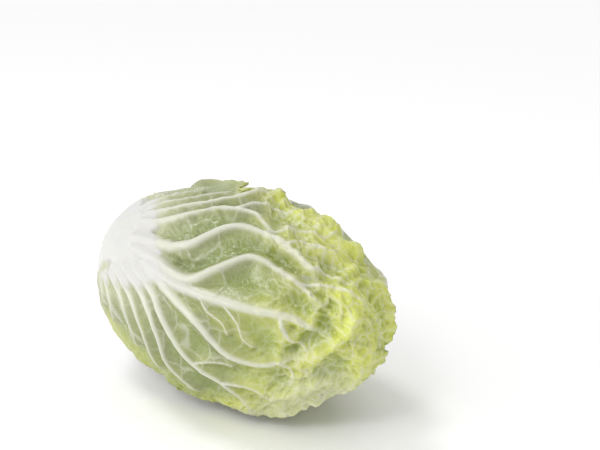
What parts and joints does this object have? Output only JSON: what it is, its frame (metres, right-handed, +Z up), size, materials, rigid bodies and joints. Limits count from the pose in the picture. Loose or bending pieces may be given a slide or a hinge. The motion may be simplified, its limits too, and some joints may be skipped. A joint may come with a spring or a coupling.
{
  "type": "napa cabbage",
  "caption": "Whole napa cabbage head lying on its side: crinkled leaves with broad white petioles wrapped round a cut stem and a tight heart.",
  "frame": {"origin": "middle of the head's box in plan, on the surface that the head lies on", "axes": "+X along the head's long axis from the cut stem to the leaf tips, +Z up from the surface, +Y across the head"},
  "size_m": [0.2582, 0.1484, 0.1485],
  "materials": {
    "wrapper_leaf": "waxy green leaf with white veins",
    "inner_leaf": "pale yellow-green young leaf",
    "stem": "moist white cut stem"
  },
  "bodies": {
    "root": {"wrapper_leaf_01": "wrapper_leaf", "wrapper_leaf_02": "wrapper_leaf", "wrapper_leaf_03": "wrapper_leaf", "wrapper_leaf_04": "wrapper_leaf", "wrapper_leaf_05": "wrapper_leaf", "wrapper_leaf_06": "wrapper_leaf", "wrapper_leaf_07": "wrapper_leaf", "wrapper_leaf_08": "wrapper_leaf", "wrapper_leaf_09": "wrapper_leaf", "inner_leaf_01": "inner_leaf", "inner_leaf_02": "inner_leaf", "inner_leaf_03": "inner_leaf", "inner_leaf_04": "inner_leaf", "inner_leaf_05": "inner_leaf", "inner_leaf_06": "inner_leaf", "inner_leaf_07": "inner_leaf", "inner_leaf_08": "inner_leaf", "inner_leaf_09": "inner_leaf", "inner_leaf_10": "inner_leaf", "heart": "inner_leaf", "stem": "stem"}
  },
  "joints": []
}
